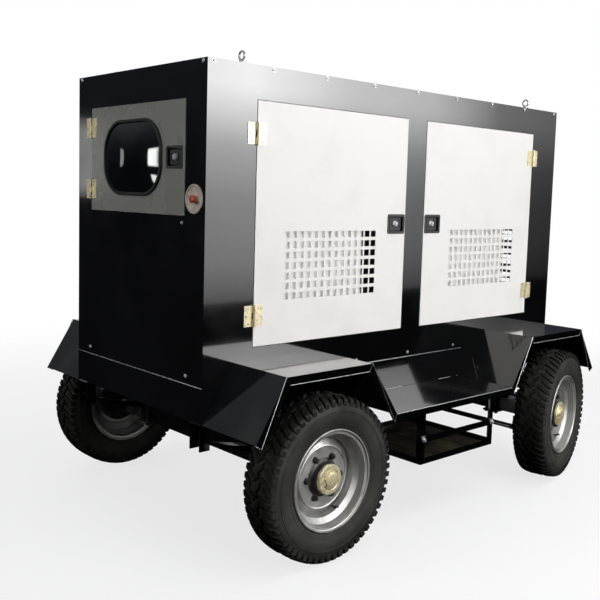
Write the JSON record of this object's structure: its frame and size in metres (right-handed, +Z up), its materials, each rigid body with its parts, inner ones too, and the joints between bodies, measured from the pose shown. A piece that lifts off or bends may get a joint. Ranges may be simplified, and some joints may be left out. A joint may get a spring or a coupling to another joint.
{
  "type": "towable diesel generator",
  "caption": "Silenced diesel generator set in a black and white steel canopy on a wheeled drawbar trailer.",
  "frame": {"origin": "on the ground, under the centre of the whole part's box", "axes": "+X towards the drawbar eye, +Y to the left side, +Z up"},
  "size_m": [3.7639, 1.993, 2.1555],
  "materials": {
    "black_paint": "gloss",
    "white_paint": "gloss",
    "grey_paint": "satin",
    "zinc_yellow": "satin",
    "latch_black": "matte",
    "tyre_rubber": "matte",
    "rim_silver": "satin",
    "hub_iron": "satin",
    "dark_glass": "gloss",
    "seal_rubber": "matte",
    "stop_plate_plastic": "gloss",
    "red_plastic": "gloss",
    "bright_steel": "satin",
    "engine_paint": "satin",
    "radiator_aluminium": "matte",
    "fan_plastic": "matte",
    "tank_plastic": "satin",
    "exhaust_steel": "matte"
  },
  "bodies": {
    "body": {"alternator": "engine_paint", "base_frame": "black_paint", "battery_tray": "black_paint", "control_box": "black_paint", "corner_posts": "black_paint", "emergency_stop_plate": "stop_plate_plastic", "end_walls": "black_paint", "engine": "engine_paint", "exhaust_silencer": "exhaust_steel", "fender_left": "black_paint", "fender_right": "black_paint", "front_axle": "black_paint", "fuel_tank": "tank_plastic", "hinge_frame_leaves": "zinc_yellow", "leaf_springs": "black_paint", "lifting_eyes": "bright_steel", "radiator": "radiator_aluminium", "radiator_grille": "black_paint", "rear_axle": "black_paint", "roof": "black_paint", "roof_bolts": "bright_steel", "side_frames": "black_paint", "spring_hangers": "black_paint", "tray_strap": "black_paint"},
    "side_door_right_rear": {"door_right_rear": "white_paint", "hinge_leaves_right_rear": "zinc_yellow"},
    "latch_right_rear": {"latch_handle_right_rear": "latch_black"},
    "side_door_right_front": {"door_right_front": "white_paint", "hinge_leaves_right_front": "zinc_yellow"},
    "latch_right_front": {"latch_handle_right_front": "latch_black"},
    "side_door_left_rear": {"door_left_rear": "white_paint", "hinge_leaves_left_rear": "zinc_yellow"},
    "latch_left_rear": {"latch_handle_left_rear": "latch_black"},
    "side_door_left_front": {"door_left_front": "white_paint", "hinge_leaves_left_front": "zinc_yellow"},
    "latch_left_front": {"latch_handle_left_front": "latch_black"},
    "control_door": {"door_control": "grey_paint", "window_glass": "dark_glass", "window_seal": "seal_rubber", "hinge_leaves_control": "zinc_yellow"},
    "latch_control": {"latch_handle_control": "latch_black"},
    "stop_button": {"emergency_stop_button": "red_plastic"},
    "drawbar_yoke": {"steering_yoke": "black_paint"},
    "drawbar": {"drawbar": "black_paint"},
    "tie_rod": {"tie_rod": "black_paint"},
    "knuckle_right": {"steering_knuckle_right": "black_paint"},
    "knuckle_left": {"steering_knuckle_left": "black_paint"},
    "wheel_right_rear": {"tyre_right_rear": "tyre_rubber", "wheel_rim_right_rear": "rim_silver", "wheel_hub_right_rear": "hub_iron"},
    "wheel_right_front": {"tyre_right_front": "tyre_rubber", "wheel_rim_right_front": "rim_silver", "wheel_hub_right_front": "hub_iron"},
    "wheel_left_rear": {"tyre_left_rear": "tyre_rubber", "wheel_rim_left_rear": "rim_silver", "wheel_hub_left_rear": "hub_iron"},
    "wheel_left_front": {"tyre_left_front": "tyre_rubber", "wheel_rim_left_front": "rim_silver", "wheel_hub_left_front": "hub_iron"},
    "fan": {"cooling_fan": "fan_plastic"}
  },
  "joints": [
    {"name": "door_hinge_right_rear", "type": "hinge", "parent": "body", "child": "side_door_right_rear", "pos_m": [-1.5875, -0.5555, 1.423], "axis": [0, 0, -1], "range_deg": [0, 110]},
    {"name": "latch_lift_right_rear", "type": "hinge", "parent": "side_door_right_rear", "child": "latch_right_rear", "pos_m": [-0.682, -0.539, 1.4555], "axis": [-1, 0, 0], "range_deg": [0, 45], "stiffness_Nm_per_rad": 0.5},
    {"name": "door_hinge_right_front", "type": "hinge", "parent": "body", "child": "side_door_right_front", "pos_m": [0.5075, -0.5555, 1.423], "axis": [0, 0, 1], "range_deg": [0, 110]},
    {"name": "latch_lift_right_front", "type": "hinge", "parent": "side_door_right_front", "child": "latch_right_front", "pos_m": [-0.398, -0.539, 1.4555], "axis": [-1, 0, 0], "range_deg": [0, 45], "stiffness_Nm_per_rad": 0.5},
    {"name": "door_hinge_left_rear", "type": "hinge", "parent": "body", "child": "side_door_left_rear", "pos_m": [-1.5875, 0.5555, 1.423], "axis": [0, 0, 1], "range_deg": [0, 110]},
    {"name": "latch_lift_left_rear", "type": "hinge", "parent": "side_door_left_rear", "child": "latch_left_rear", "pos_m": [-0.682, 0.539, 1.4555], "axis": [1, 0, 0], "range_deg": [0, 45], "stiffness_Nm_per_rad": 0.5},
    {"name": "door_hinge_left_front", "type": "hinge", "parent": "body", "child": "side_door_left_front", "pos_m": [0.5075, 0.5555, 1.423], "axis": [0, 0, -1], "range_deg": [0, 110]},
    {"name": "latch_lift_left_front", "type": "hinge", "parent": "side_door_left_front", "child": "latch_left_front", "pos_m": [-0.398, 0.539, 1.4555], "axis": [1, 0, 0], "range_deg": [0, 45], "stiffness_Nm_per_rad": 0.5},
    {"name": "control_door_hinge", "type": "hinge", "parent": "body", "child": "control_door", "pos_m": [-1.8605, 0.4105, 1.7015], "axis": [0, 0, -1], "range_deg": [0, 110]},
    {"name": "latch_lift_control", "type": "hinge", "parent": "control_door", "child": "latch_control", "pos_m": [-1.844, -0.316, 1.7325], "axis": [0, 1, 0], "range_deg": [0, 45], "stiffness_Nm_per_rad": 0.5},
    {"name": "emergency_stop_press", "type": "slide", "parent": "body", "child": "stop_button", "axis": [1, 0, 0], "range_m": [0, 0.006], "stiffness_N_per_m": 400},
    {"name": "drawbar_turn", "type": "hinge", "parent": "body", "child": "drawbar_yoke", "pos_m": [0.345, 0, 0.303], "axis": [0, 0, 1], "range_deg": [-28, 2]},
    {"name": "drawbar_lift", "type": "hinge", "parent": "drawbar_yoke", "child": "drawbar", "pos_m": [0.56911, 0.05174, 0.303], "axis": [0.225, -0.9744, 0], "range_deg": [0, 45]},
    {"name": "tie_rod_slide", "type": "slide", "parent": "body", "child": "tie_rod", "axis": [0, 1, 0], "range_m": [-0.0056, 0.0738]},
    {"name": "steer_right", "type": "hinge", "parent": "body", "child": "knuckle_right", "pos_m": [0.345, -0.712, 0.36], "axis": [0, 0, 1], "range_deg": [-28.5, 2.5]},
    {"name": "steer_left", "type": "hinge", "parent": "body", "child": "knuckle_left", "pos_m": [0.345, 0.712, 0.36], "axis": [0, 0, 1], "range_deg": [-28.5, 2.5]},
    {"name": "wheel_spin_right_rear", "type": "hinge", "parent": "body", "child": "wheel_right_rear", "pos_m": [-1.437, -0.842, 0.36], "axis": [0, 1, 0], "continuous": true},
    {"name": "wheel_spin_right_front", "type": "hinge", "parent": "knuckle_right", "child": "wheel_right_front", "pos_m": [0.37424, -0.83867, 0.36], "axis": [-0.225, 0.9744, 0], "continuous": true},
    {"name": "wheel_spin_left_rear", "type": "hinge", "parent": "body", "child": "wheel_left_rear", "pos_m": [-1.437, 0.842, 0.36], "axis": [0, 1, 0], "continuous": true},
    {"name": "wheel_spin_left_front", "type": "hinge", "parent": "knuckle_left", "child": "wheel_left_front", "pos_m": [0.31576, 0.83867, 0.36], "axis": [-0.225, 0.9744, 0], "continuous": true},
    {"name": "fan_spin", "type": "hinge", "parent": "body", "child": "fan", "pos_m": [0.08, 0, 1.1925], "axis": [1, 0, 0], "continuous": true}
  ],
  "couplings": [
    {"joint": "steer_right", "follows": "drawbar_turn", "ratio": 1},
    {"joint": "steer_left", "follows": "drawbar_turn", "ratio": 1},
    {"joint": "tie_rod_slide", "follows": "drawbar_turn", "m_per_rad": -0.15}
  ]
}
